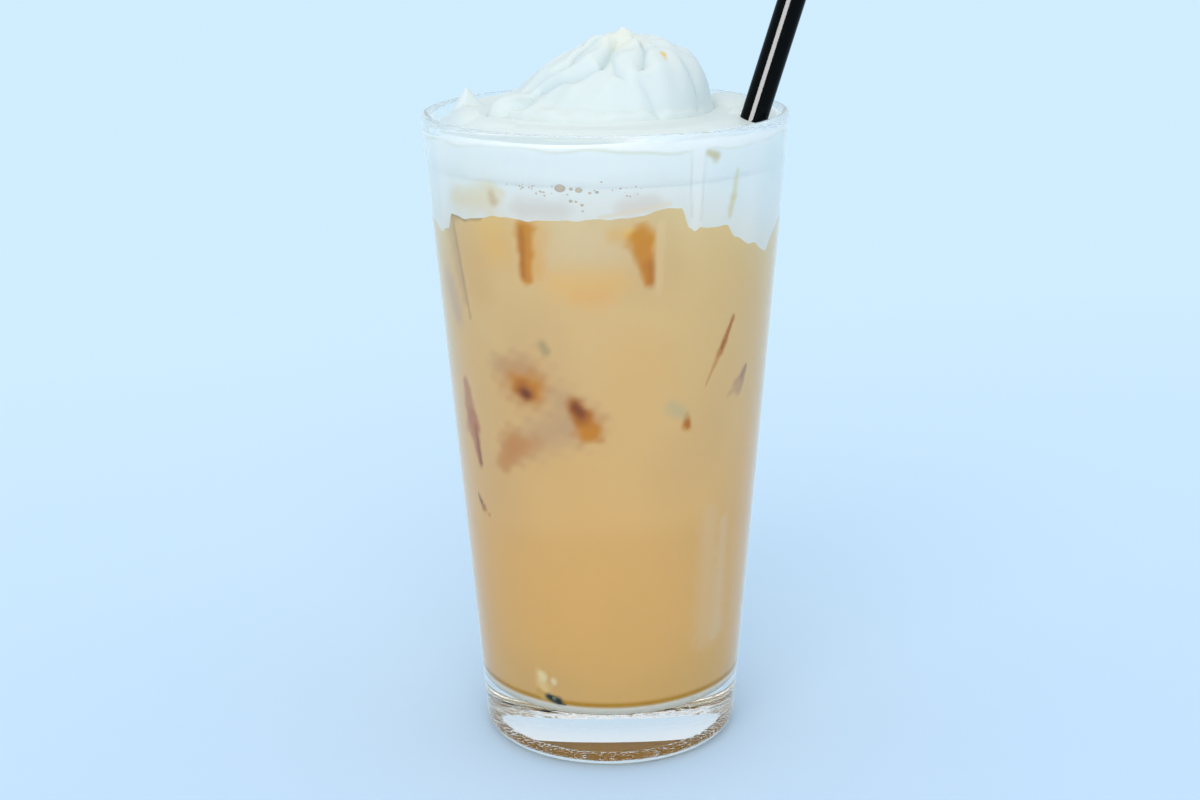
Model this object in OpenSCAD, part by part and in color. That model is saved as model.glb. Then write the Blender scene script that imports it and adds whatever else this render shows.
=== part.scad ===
// Iced latte in a mixing glass, with milk foam, a whipped cream swirl and a drinking straw.
// The glass stands on the plane z = 0 with its axis on Z, and +Y points to the back.

/* [Glass] */
// Height of the glass
glass_h = 149.2; // [130:1:180]
// Outer diameter at the rim
rim_d = 83.4; // [70:0.2:104]
// Outer diameter at the foot, before the heel is rounded
base_d = 59.8; // [50:0.2:68]
// Wall thickness at the rim
wall_rim = 2.5; // [2:0.1:3.4]
// Wall thickness just above the floor
wall_low = 3.9; // [3:0.1:5.2]
// Thickness of the solid base
floor_t = 12.2; // [9:0.2:16]
// Radius of the outer heel
heel_r = 3.4; // [1.5:0.1:4.5]
// Radius between the inner wall and the floor
corner_r = 4.4; // [2:0.1:6]
// Height of the hollow under the base
push_up = 1.2; // [0.4:0.1:2.5]
// Width of the flat ring that the glass stands on
foot_ring = 3.2; // [2:0.1:6]

/* [Drink] */
// Height of the latte's surface above the table
latte_level = 131; // [110:0.5:137]
// Thickness of the milk foam on the latte
foam_t = 7; // [3:0.2:9]

/* [Whipped cream] */
// How far below the rounded lip the cream's highest contact with the wall is
cream_drop = 0.35; // [0.3:0.05:4]
// Rise of the cream from there to the foot of the swirl
skirt_rise = 1.2; // [0:0.1:3]
// How much lower the cream meets the wall at its lowest, at the back left
skirt_dip = 2; // [0:0.1:4]
// Radius of the lower coil of the swirl
coil_r = 25; // [18:0.2:27]
// Height of the lower coil above the cream around it
coil_h = 5.2; // [3:0.2:9]
// Radius of the upper crown of the swirl at its middle, where it faces the front
crown_r = 23; // [16:0.2:25]
// Height of the upper crown above the cream around it
crown_h = 17.2; // [12:0.2:24]
// How far the crown sits to the right of the glass's axis
crown_shift = 4; // [0:0.2:6]
// Depth of the deepest crease between the folds
crease = 2.8; // [0:0.1:4]
// Height of the small pulled tip
tip_h = 1; // [0:0.1:4]

/* [Straw] */
// Outer diameter of the straw
straw_d = 6; // [4:0.1:8]
// Wall of the straw
straw_wall = 0.35; // [0.2:0.05:0.6]
// Length of the straw
straw_len = 197; // [180:1:240]
// Direction from the axis to the foot of the straw, in degrees
straw_foot_dir = 244; // [180:1:300]
// Direction from the axis to where the straw leans on the rim, in degrees
straw_rim_dir = -24; // [-60:1:40]
// Gap between the straw and the glass
straw_gap = 0.3; // [0.2:0.05:0.5]

/* [Hidden] */
$fn = 96;
ARC_STEPS = 8;
SPIN_STEPS = 84;
RING_STEPS = 34;

// Creases of the swirl: share of the full depth, width on either side, and the distances from the
// peak and directions of the places that each one runs through
CREASES = [
    [0.8, 0.8, 2, [[4, -168], [6, -164], [11, -151], [14, -147], [18, -152], [22, -162], [26, -164]]],
    [1, 0.9, 2.4, [[4, -108], [8, -108], [15, -110], [17, -123], [19, -137], [21, -150], [28, -154]]],
    [0.7, 0.8, 1.6, [[3, -40], [6.5, -52], [10.5, -63], [15, -73], [18, -80]]],
    [0.5, 1.4, 0.8, [[8, -108], [12.5, -103], [17, -95], [20, -87]]],
    [0.7, 0.8, 2.2, [[6, -45], [10.5, -34], [13.5, -30], [17, -32], [21, -38]]],
    [0.5, 0.7, 1.8, [[5, -12], [10, -12], [15, -9], [19, -6]]],
    [0.4, 1.5, 1.5, [[19, -80], [23, -70], [27, -66]]],
    [0.7, 0.9, 2.4, [[3, 25], [12, 18], [24, 0]]],
    [0.8, 0.9, 2.4, [[3, 72], [12, 62], [25, 36]]],
    [0.9, 0.9, 2.6, [[4, 118], [14, 106], [27, 80]]],
    [0.8, 0.9, 2.6, [[3, 165], [14, 152], [29, 124]]],
    [0.6, 0.8, 2.2, [[8, 182], [18, 178], [30, 166]]]];

// Lumps of the cream: middle, direction of the long axis, half-length, half-width, rise, and how
// rounded it is, where 1 is a cone
LUMPS = [
    [[-31.5, 4.5], 15, 4.6, 2.6, 4.4, 1],
    [[-18.5, -8.5], 24, 8, 4.4, 5.2, 2.4],
    [[-31.5, -11.5], -62, 7, 3.4, 1.9, 2.2],
    [[-25, -21], -42, 9, 3, 1, 2.2],
    [[28.5, 5], 100, 13, 5, 2.6, 2.2],
    [[30, -5], 80, 8, 3, 1.4, 2.2],
    [[8, 31], 5, 13, 4, 1.8, 2.2],
    [[-18, 27], 35, 9, 4, 1.5, 2.2]];

// Cavity radius that the lumps and the fold of the skirt were laid out for
CREAM_R = 39;
// The crown's foot is farther out on the left than on the right, and its side is steeper there.
CROWN_SKEW = 3;
CROWN_FULL = [2, 0.45];
// Shoulder left of the peak: where, half-lengths and rise
SHOULDER_AT = [-5.5, 0];
SHOULDER_W = [4.5, 5];
SHOULDER_H = 1.5;
COIL_CENTRE = [-0.5, 0];
COIL_FULL = 3;
// How softly the crown runs into the coil, and how high the creases need the swirl to be
SWIRL_BLEND = 2;
CREASE_RISE = 3;
// Width of the rise from the wall to the skirt
SKIRT_W = 7;
// Fold of the skirt: height, width, distance from the axis, and how far and where it lies off centre
FOLD = [0.9, 1.1, 28.6, 3.2, 165];
// Direction in which the fold is highest
FOLD_DIR = -140;
// Direction in which the cream meets the wall lowest, and the waves of its edge
DIP_DIR = 155;
EDGE_WAVE = [0.25, 5, 57];
TIP_W = 1.1;
// Waves that make the swirl uneven: height, turn in degrees per millimetre of X and of Y, and start
WAVES = [[0.22, 52, 23, 0], [0.2, 29, -63, 57]];

// Glass: the outer wall is a straight cone, and the lip is a half round on top of it.
lip_r = wall_rim / 2;
outer_lean = atan2(rim_d - base_d, 2 * glass_h);
function outer_r(z) = base_d / 2 + z * tan(outer_lean);
lip_z = glass_h - lip_r;
lip_c = outer_r(lip_z) - lip_r / cos(outer_lean);
heel_c = outer_r(heel_r) - heel_r / cos(outer_lean);
ring_in = heel_c - foot_ring;

// Cavity: a straight cone from the lip down to a rounded corner and a flat floor.
floor_r = outer_r(floor_t) - wall_low;
inner_lean = atan2(lip_c - lip_r - floor_r, lip_z - floor_t);
function cavity_r(z) = floor_r + (z - floor_t) * tan(inner_lean);
corner_z = floor_t + corner_r;
corner_c = cavity_r(corner_z) - corner_r / cos(inner_lean);

// Levels of the layers
foam_top = latte_level + foam_t;
cream_edge = lip_z - cream_drop;
cream_fit = cavity_r(cream_edge) / CREAM_R;

// Straw: its foot stands in the corner of the floor, and it leans on the inside of the lip.
// A first line between the middles of both spots gives its slope, and both ends are then moved
// out until the tube's round section is as near to the glass as the gap lets it be.
straw_r = straw_d / 2;
function polar(reach, dir) = [reach * cos(dir), reach * sin(dir)];
function slope_of(line) = [atan2(line[1], line[0]), atan2(norm(line), lip_z - floor_t)];
first_slope = slope_of(polar(cavity_r(lip_z) - straw_r, straw_rim_dir)
    - polar(corner_c - straw_r / 2, straw_foot_dir));

// The tube's section as offsets from its axis: long is its half-length along the lean.
function section(long) = [for (a = [0:10:350])
    long * cos(a) * polar(1, first_slope[0]) + straw_r * sin(a) * polar(1, first_slope[0] + 90)];

// How far out along dir the section's middle can go while each point stays within its limit.
function reach_within(dir, points, limits) = min([for (i = [0:len(points) - 1])
    sqrt(pow(limits[i], 2) - pow(points[i] * polar(1, dir + 90), 2)) - points[i] * polar(1, dir)]);

// Room beside the flat floor at a height above it, where the corner curves up
function corner_room(h) = sqrt(pow(corner_r, 2) - pow(corner_r - min(h, corner_r), 2));

foot_rise = straw_r * sin(first_slope[1]);
foot_reach = reach_within(straw_foot_dir, section(straw_r * cos(first_slope[1])),
    [for (a = [0:10:350]) corner_c + corner_room(foot_rise * (1 - cos(a)))]) - straw_gap;
rim_reach = reach_within(straw_rim_dir, section(straw_r / cos(first_slope[1])),
    [for (a = [0:10:350]) cavity_r(lip_z)]) - straw_gap;

foot_xy = polar(foot_reach, straw_foot_dir);
lean_xy = polar(rim_reach, straw_rim_dir) - foot_xy;
straw_dir = slope_of(lean_xy)[0];
straw_lean = slope_of(lean_xy)[1];
foot_z = floor_t + straw_gap + straw_r * sin(straw_lean);

function reverse(list) = [for (i = [len(list) - 1:-1:0]) list[i]];

function arc(c, r, from, to) =
    [for (i = [0:ARC_STEPS]) let (a = from + (to - from) * i / ARC_STEPS)
        c + r * [cos(a), sin(a)]];

function cavity_outline(top) = concat(
    [[0, floor_t]],
    arc([corner_c, corner_z], corner_r, -90, -inner_lean),
    [[cavity_r(top), top]]);

function push_up_outline() =
    [for (i = [0:ARC_STEPS]) let (s = i / ARC_STEPS)
        [s * ring_in, push_up * (1 - s * s)]];

module glass() {
    color([0.86, 0.93, 0.95, 0.35])
    rotate_extrude()
    polygon(concat(
        push_up_outline(),
        arc([heel_c, heel_r], heel_r, -90, -outer_lean),
        arc([lip_c, lip_z], lip_r, -outer_lean, 180 - inner_lean),
        reverse(arc([corner_c, corner_z], corner_r, -90, -inner_lean)),
        [[0, floor_t]]));
}

// Runs along the straw from its foot, with the given ends measured along its axis.
module along_straw(from, to, r) {
    translate([foot_xy[0], foot_xy[1], foot_z])
    rotate([straw_lean, 0, straw_dir + 90])
    translate([0, 0, from])
    cylinder(r = r, h = to - from);
}

module straw() {
    color([0.04, 0.045, 0.05])
    difference() {
        along_straw(0, straw_len, straw_r);
        along_straw(-1, straw_len + 1, straw_r - straw_wall);
    }
}

module latte() {
    color([0.84, 0.71, 0.49])
    difference() {
        rotate_extrude()
        polygon(concat(cavity_outline(latte_level), [[0, latte_level]]));
        along_straw(0, straw_len, straw_r);
    }
}

module milk_foam() {
    color([0.89, 0.92, 0.91])
    difference() {
        translate([0, 0, latte_level])
        cylinder(r1 = cavity_r(latte_level), r2 = cavity_r(foam_top), h = foam_t);
        along_straw(0, straw_len, straw_r);
    }
}

// Whipped cream: a skirt that reaches the wall, a low coil, and a creased crown on top of it.
function smoothstep(low, high, x) =
    let (t = min(max((x - low) / (high - low), 0), 1)) t * t * (3 - 2 * t);
function smooth_max(a, b, k) =
    let (h = max(k - abs(a - b), 0) / k) max(a, b) + h * h * k / 4;
function mound(s, p) = s >= 1 ? 0 : pow(1 - pow(s, p), 1 / p);
function direction(v) = atan2(v[1], v[0]);

function shoulder_height(v) =
    let (x = (v[0] - SHOULDER_AT[0]) / SHOULDER_W[0], y = (v[1] - SHOULDER_AT[1]) / SHOULDER_W[1])
    SHOULDER_H * exp(-x * x - y * y);

function crown_height(v) =
    let (side = cos(direction(v)), full = CROWN_FULL[0] + CROWN_FULL[1] * side)
    crown_h * mound(norm(v) / (crown_r - CROWN_SKEW * side), full) + shoulder_height(v);

function coil_height(xy) = coil_h * mound(norm(xy - COIL_CENTRE) / coil_r, COIL_FULL);

// Distance of a place from one stretch of a crease, and on which side of it the place lies
function stretch_off(v, from, to) =
    let (run = to - from, t = min(max((v - from) * run / (run * run), 0), 1), w = v - from - t * run)
    [norm(w), cross(run, w)];

function nearest(offs) = offs[search(min([for (o = offs) o[0]]), [for (o = offs) o[0]])[0]];

// How deep one crease cuts at a place seen from the peak
function crease_cut(c, v) =
    let (path = [for (p = c[3]) polar(p[0], p[1])],
         last = len(path) - 1,
         off = nearest([for (i = [0:last - 1]) stretch_off(v, path[i], path[i + 1])]),
         fade = smoothstep(c[3][0][0] - 1.5, c[3][0][0] + 2, norm(v))
             * (1 - smoothstep(c[3][last][0] - 3, c[3][last][0] + 1, norm(v))))
    crease * c[0] * fade * exp(-off[0] / (off[1] < 0 ? c[1] : c[2]));

function lump_height(lump, xy) =
    let (v = xy - lump[0],
         along = v * polar(1, lump[1]) / lump[2],
         across = v * polar(1, lump[1] + 90) / lump[3])
    lump[4] * mound(norm([along, across]), lump[5]);

function uneven(xy) =
    let (parts = [for (w = WAVES) w[0] * sin(w[1] * xy[0] + w[2] * xy[1] + w[3])]) parts[0] + parts[1];

// A low fold that runs round the left and the front, where the skirt turns up
function skirt_fold(xy) =
    let (dir = direction(xy), place = FOLD[2] + FOLD[3] * cos(dir - FOLD[4]))
    FOLD[0] * smoothstep(-0.4, 0.5, cos(dir - FOLD_DIR)) * exp(-abs(norm(xy) - place) / FOLD[1]);

function edge_at(dir) = cream_edge - skirt_dip / 2 * (1 + cos(dir - DIP_DIR))
    + EDGE_WAVE[0] * sin(EDGE_WAVE[1] * dir + EDGE_WAVE[2]);

function cream_height(xy) =
    let (v = xy - [crown_shift, 0],
         edge = edge_at(direction(xy)),
         inward = cavity_r(cream_edge) - norm(xy),
         rise = (cream_edge + skirt_rise - edge) * smoothstep(0, SKIRT_W, inward),
         swirl = smooth_max(crown_height(v), coil_height(xy), SWIRL_BLEND),
         cut = max([for (c = CREASES) crease_cut(c, v)]) + uneven(xy),
         folds = swirl - cut * smoothstep(0, CREASE_RISE, swirl),
         lumps = max([for (lump = LUMPS) lump_height(lump, xy / cream_fit)]))
    edge + rise + max(folds, lumps) + skirt_fold(xy / cream_fit) + tip_h * exp(-pow(norm(v) / TIP_W, 2));

function cream_point(i, j) =
    let (s = i / RING_STEPS,
         dir = 360 * j / SPIN_STEPS,
         xy = [crown_shift * (1 - s * s), 0] + polar(cavity_r(edge_at(dir)) * s, dir))
    [xy[0], xy[1], i == RING_STEPS ? edge_at(dir) : cream_height(xy)];

module whipped_cream_body() {
    rings = [for (i = [1:RING_STEPS], j = [0:SPIN_STEPS - 1]) cream_point(i, j)];
    foot = [for (j = [0:SPIN_STEPS - 1])
        let (xy = polar(cavity_r(foam_top), 360 * j / SPIN_STEPS)) [xy[0], xy[1], foam_top]];
    peak = cream_point(0, 0);
    points = concat(rings, foot, [peak, [0, 0, foam_top]]);
    top = len(points) - 2;
    bottom = len(points) - 1;
    sides = [for (i = [0:RING_STEPS - 1], j = [0:SPIN_STEPS - 1])
        let (k = (j + 1) % SPIN_STEPS, a = i * SPIN_STEPS, b = a + SPIN_STEPS)
            each [[a + j, a + k, b + j], [a + k, b + k, b + j]]];
    caps = [for (j = [0:SPIN_STEPS - 1])
        let (k = (j + 1) % SPIN_STEPS, f = RING_STEPS * SPIN_STEPS)
            each [[top, k, j], [bottom, f + j, f + k]]];
    polyhedron(points, concat(sides, caps));
}

module whipped_cream() {
    color([0.92, 0.95, 0.94])
    difference() {
        whipped_cream_body();
        along_straw(0, straw_len, straw_r);
    }
}

glass();
latte();
milk_foam();
whipped_cream();
straw();
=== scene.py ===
import math

import bpy
import numpy as np
from mathutils import Matrix, Vector


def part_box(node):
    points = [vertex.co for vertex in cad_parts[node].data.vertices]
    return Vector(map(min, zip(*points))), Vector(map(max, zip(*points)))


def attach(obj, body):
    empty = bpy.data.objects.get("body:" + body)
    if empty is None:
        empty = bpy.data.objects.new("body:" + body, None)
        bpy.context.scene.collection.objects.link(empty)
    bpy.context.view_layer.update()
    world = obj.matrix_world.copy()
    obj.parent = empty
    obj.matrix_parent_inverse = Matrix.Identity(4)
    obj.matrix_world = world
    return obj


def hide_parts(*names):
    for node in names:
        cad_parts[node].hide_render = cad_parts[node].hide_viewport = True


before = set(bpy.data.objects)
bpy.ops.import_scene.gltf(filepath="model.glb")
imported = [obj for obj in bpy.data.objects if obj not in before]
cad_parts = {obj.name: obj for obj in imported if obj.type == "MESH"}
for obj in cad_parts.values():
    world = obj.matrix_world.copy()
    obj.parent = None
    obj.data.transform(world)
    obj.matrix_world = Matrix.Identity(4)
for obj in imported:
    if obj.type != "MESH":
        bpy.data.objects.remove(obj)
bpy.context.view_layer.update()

# Sizes are in millimetres here and become metres where a mesh is made.
MM = 0.001
SEED = 7


def node_box(name):
    """Lowest and highest corner of a CAD node, in millimetres."""
    low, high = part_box(name)
    return np.array(low) / MM, np.array(high) / MM


# Glass, as in the CAD model
GLASS_H = node_box("glass")[1][2]
WALL_RIM = 2.5
WALL_LOW = 3.9
BASE_R = 29.9
RIM_R = 41.7
HEEL_R = 3.4
CORNER_R = 4.4
PUSH_UP = 1.2
FOOT_RING = 3.2
FLOOR_Z, LATTE_Z = [corner[2] for corner in node_box("latte")]
FOAM_Z = node_box("milk_foam")[1][2]
# The cream meets the glass this far below the rim, at its highest.
CREAM_DROP = 1.6
CREAM_EDGE = GLASS_H - CREAM_DROP
# How far the drink, foam and cream reach into the glass
BITE = 0.06

OUTER_LEAN = math.atan2(RIM_R - BASE_R, GLASS_H)
LIP_R = WALL_RIM / 2
LIP_Z = GLASS_H - LIP_R


def outer_r(z):
    """Radius of the glass's outside."""
    return BASE_R + z * math.tan(OUTER_LEAN)


LIP_C = outer_r(LIP_Z) - LIP_R / math.cos(OUTER_LEAN)
HEEL_C = outer_r(HEEL_R) - HEEL_R / math.cos(OUTER_LEAN)
FLOOR_R = outer_r(FLOOR_Z) - WALL_LOW
INNER_LEAN = math.atan2(LIP_C - LIP_R - FLOOR_R, LIP_Z - FLOOR_Z)


def cavity_r(z):
    """Radius of the glass's inside."""
    return FLOOR_R + (z - FLOOR_Z) * math.tan(INNER_LEAN)


CORNER_Z = FLOOR_Z + CORNER_R
CORNER_C = cavity_r(CORNER_Z) - CORNER_R / math.cos(INNER_LEAN)


# ---------------------------------------------------------------- meshes

def arc(centre, radius, start, end, steps):
    """Points of a round stretch of an outline, with its angles in degrees."""
    angles = np.radians(np.linspace(start, end, steps))
    return [(centre[0] + radius * math.cos(a), centre[1] + radius * math.sin(a)) for a in angles]


def straight(start, end, steps):
    """Inner points of a straight stretch of an outline."""
    start, run = np.array(start), np.array(end) - start
    return [tuple(start + run * t) for t in np.linspace(0, 1, steps + 2)[1:-1]]


# Edges that turn by more than this many degrees are drawn sharp.
SHARP = 45


def mesh_object(name, points, faces):
    """A smooth mesh from points in millimetres and lists of corners."""
    mesh = bpy.data.meshes.new(name)
    mesh.from_pydata((np.asarray(points) * MM).tolist(), [], faces)
    mesh.validate()
    mesh.update()
    mesh.shade_smooth()
    mesh.set_sharp_from_angle(angle=math.radians(SHARP))
    thing = bpy.data.objects.new(name, mesh)
    bpy.context.scene.collection.objects.link(thing)
    return thing


def grid_faces(rows, columns):
    """Quads between rows of a ring-shaped grid, whose columns close on themselves."""
    faces = []
    for a in range(0, (rows - 1) * columns, columns):
        b = a + columns
        for j in range(columns):
            k = (j + 1) % columns
            faces.append([a + j, a + k, b + k, b + j])
    return faces


def lathe(name, outline, steps, close=False):
    """Turns an outline of (radius, z) about Z. Ends on the axis become single points, and a closed
    outline also joins its last point to its first."""
    angles = np.arange(steps) * 2 * np.pi / steps
    ring = np.stack([np.cos(angles), np.sin(angles)], 1)
    body = [p for p in outline if p[0] > 1e-6]
    points = np.concatenate([np.column_stack([ring * r, np.full(steps, z)]) for r, z in body])
    faces = grid_faces(len(body), steps)
    ends = []
    for at_start in (True, False):
        r, z = outline[0] if at_start else outline[-1]
        if r > 1e-6:
            continue
        tip = len(points) + len(ends)
        row = 0 if at_start else (len(body) - 1) * steps
        for j in range(steps):
            k = (j + 1) % steps
            faces.append([tip, row + k, row + j] if at_start else [tip, row + j, row + k])
        ends.append((0.0, 0.0, z))
    if ends:
        points = np.concatenate([points, ends])
    if close:
        last = (len(body) - 1) * steps
        faces += [[last + j, last + (j + 1) % steps, (j + 1) % steps, j] for j in range(steps)]
    return mesh_object(name, points, faces)


def mesh_points(thing):
    """The points of a mesh, in millimetres."""
    co = np.empty(len(thing.data.vertices) * 3)
    thing.data.vertices.foreach_get("co", co)
    return co.reshape(-1, 3) / MM


def paint(thing, colours):
    """Stores a colour for each point, which the materials read by its name."""
    layer = thing.data.color_attributes.new("tone", "FLOAT_COLOR", "POINT")
    rgba = np.column_stack([colours, np.ones(len(colours))])
    layer.data.foreach_set("color", rgba.ravel())
    thing.data.color_attributes.active_color = layer


def smoothstep(low, high, x):
    """0 below the low value, 1 above the high one, and a soft rise between them."""
    t = np.clip((x - low) / (high - low), 0, 1)
    return t * t * (3 - 2 * t)


def linear(red, green, blue):
    """A display colour from 0 to 255 as the linear values that Blender mixes."""
    c = np.array([red, green, blue]) / 255
    return np.where(c <= 0.04045, c / 12.92, ((c + 0.055) / 1.055) ** 2.4)


def blend(base, other, amount):
    """Mixes two colours, by an amount for each point."""
    amount = np.asarray(amount)[..., None]
    return base * (1 - amount) + other * amount


def waves(phi, z, count, fine, rng):
    """Soft unevenness from a few waves, between about -1 and 1."""
    total = np.zeros(np.broadcast(phi, z).shape)
    for _ in range(count):
        turns = rng.integers(1, fine)
        total += np.sin(turns * phi + rng.uniform(-1, 1) * z * 0.12 * fine / 6 + rng.uniform(0, 6.28))
    return total / math.sqrt(count)


LATTE_HIGH_TONE = linear(239, 214, 159)
LATTE_LOW_TONE = linear(240, 201, 124)
CLOUD_TONE = linear(238, 194, 116)
# The drink has settled below these heights.
SETTLED_Z = 55, 62
SETTLED_TONE = linear(232, 190, 110)
# Low on the wall runs a dark line, under which the rounded corner is painted pale, as painted light that
# comes up through the glass's base. The underside is amber.
LINE_Z = 15.5
LINE_TONE = linear(206, 154, 0)
CORNER_LIGHT_TONE = linear(255, 255, 244)
UNDER_TONE = linear(206, 150, 10)
FOAM_TONE = linear(243, 247, 246)
CREAM_SIDE_TONE = linear(243, 250, 249)
# Cream is smeared on the glass this far down from where it meets it, with a thin line below.
SMEAR_H = 1.8
SMEAR_TONE = linear(250, 253, 251)
SMEAR_LINE_TONE = linear(226, 226, 206)
CREAM_TONE = linear(217, 229, 228)
# Painted shade: a blue-grey darkening along the creases of the swirl
CREASE_SHADE_TONE = linear(192, 212, 218)
# A painted warm highlight in front of the peak
WARM_HIGHLIGHT_TONE = linear(230, 234, 220)
SYRUP_TONE = linear(232, 196, 104)


# ---------------------------------------------------------------- materials

def material(name):
    """A new material with a Principled shader, and both."""
    made = bpy.data.materials.new(name)
    made.use_nodes = True
    return made, made.node_tree.nodes["Principled BSDF"]


def add(made, kind, **values):
    """A new shader node, with the values of its inputs or its own settings."""
    node = made.node_tree.nodes.new(kind)
    for key, value in values.items():
        if key in node.inputs:
            node.inputs[key].default_value = value
        else:
            setattr(node, key, value)
    return node


def link(made, out, into):
    """Joins an output of a shader node to an input."""
    made.node_tree.links.new(out, into)


def glass_material():
    made, shader = material("clear_glass")
    shader.inputs["Base Color"].default_value = (0.985, 0.995, 0.99, 1)
    shader.inputs["Transmission Weight"].default_value = 1
    shader.inputs["Roughness"].default_value = 0.0
    shader.inputs["IOR"].default_value = 1.51
    shader.inputs["Sheen Weight"].default_value = 0.5
    shader.inputs["Sheen Roughness"].default_value = 0.3
    shader.inputs["Sheen Tint"].default_value = (0.9, 0.97, 1.0, 1)
    return made


def painted_material(name, roughness, gloss):
    """A material that takes its colour from the points of the mesh."""
    made, shader = material(name)
    tone = add(made, "ShaderNodeAttribute", attribute_name="tone")
    link(made, tone.outputs["Color"], shader.inputs["Base Color"])
    shader.inputs["Roughness"].default_value = roughness
    shader.inputs["Specular IOR Level"].default_value = gloss
    return made, shader


def latte_material():
    return painted_material("milky_coffee", 0.5, 0.0)[0]


def foam_material():
    return painted_material("milk_foam", 0.6, 0.2)[0]


def cream_material():
    made, shader = painted_material("whipped_cream", 0.42, 0.35)
    shader.inputs["Subsurface Weight"].default_value = 0.25
    shader.inputs["Subsurface Radius"].default_value = (0.004, 0.0035, 0.003)
    shader.inputs["Subsurface Scale"].default_value = 1.0
    return made


def straw_material():
    made, shader = material("black_plastic")
    shader.inputs["Base Color"].default_value = (0.002, 0.0026, 0.0026, 1)
    shader.inputs["Roughness"].default_value = 0.08
    shader.inputs["Specular IOR Level"].default_value = 0.05
    return made


def ice_material():
    made, shader = material("ice")
    shader.inputs["Base Color"].default_value = (0.95, 0.98, 1.0, 1)
    shader.inputs["Transmission Weight"].default_value = 1
    shader.inputs["Roughness"].default_value = 0.05
    shader.inputs["IOR"].default_value = 1.31
    return made


def finish_piece(thing, node, made):
    """A new piece that stands for a CAD node and rides on the part's one body."""
    thing.data.materials.clear()
    thing.data.materials.append(made)
    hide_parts(node)
    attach(thing, "root")


# ---------------------------------------------------------------- glass

GLASS_COLUMNS = 480
RING_IN = HEEL_C - FOOT_RING
RING_ROWS = 9
# Small hollows stipple the underside: where they start, as a share of the way out to the ring,
# how deep they may be, and how far apart they are round the glass, in degrees, and outwards
STIPPLE_IN = 0.68
STIPPLE_DEPTHS = [0, 0, 0.12, 0.24]
STIPPLE_TURN = 1.5
STIPPLE_STEP = 0.5


def glass_outline():
    """The glass's section from the middle of its underside round to the middle of its floor."""
    shares = list(np.linspace(0, STIPPLE_IN, 12)) + list(np.linspace(STIPPLE_IN, 1, 20))[1:]
    under = [(s * RING_IN, PUSH_UP * (1 - s * s)) for s in shares]
    ring = straight((RING_IN, 0), (HEEL_C, 0), RING_ROWS)
    lean, inner = math.degrees(OUTER_LEAN), math.degrees(INNER_LEAN)
    heel = arc((HEEL_C, HEEL_R), HEEL_R, -90, -lean, 14)
    lip = arc((LIP_C, LIP_Z), LIP_R, -lean, 180 - inner, 20)
    corner = arc((CORNER_C, CORNER_Z), CORNER_R, -inner, -90, 14)
    floor = [(CORNER_C * s, FLOOR_Z) for s in np.linspace(1, 0, 10)][1:]
    return (under + ring + heel + straight(heel[-1], lip[0], 24) + lip
            + straight(lip[-1], corner[0], 24) + corner + floor)


def make_glass():
    """The glass, with its stippled underside."""
    thing = lathe("glass_body", glass_outline(), GLASS_COLUMNS)
    around, outwards = int(360 / STIPPLE_TURN), int(BASE_R / STIPPLE_STEP) + 1
    hollows = np.random.default_rng(SEED + 3).choice(STIPPLE_DEPTHS, size=(around, outwards))
    for vertex in thing.data.vertices:
        r = math.hypot(vertex.co.x, vertex.co.y) / MM
        if STIPPLE_IN * RING_IN + 0.5 < r < HEEL_C - 0.1 and vertex.co.z < 1.5 * MM:
            turn = math.degrees(math.atan2(vertex.co.y, vertex.co.x)) % 360
            place = int(turn / STIPPLE_TURN) % around, int(r / STIPPLE_STEP)
            vertex.co.z += hollows[place] * MM
    finish_piece(thing, "glass", glass_material())


# ---------------------------------------------------------------- marks seen through the wall

# Every mark is a soft stroke on the inside of the wall, from one place to another. A place is a
# direction in degrees, where -90 is the front, and a height in millimetres. Then come the stroke's
# half-width in millimetres at both ends, how soft it is, its colour and its strength.
AMBER = linear(220, 150, 28)
DEEP_AMBER = linear(188, 114, 14)
YELLOW = linear(252, 210, 110)
OCHRE = linear(240, 200, 128)
PALE = linear(238, 220, 180)
MAUVE = linear(216, 186, 144)
BROWN = linear(214, 156, 90)
REDDISH = linear(200, 138, 90)
DARK = linear(132, 66, 2)
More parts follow.
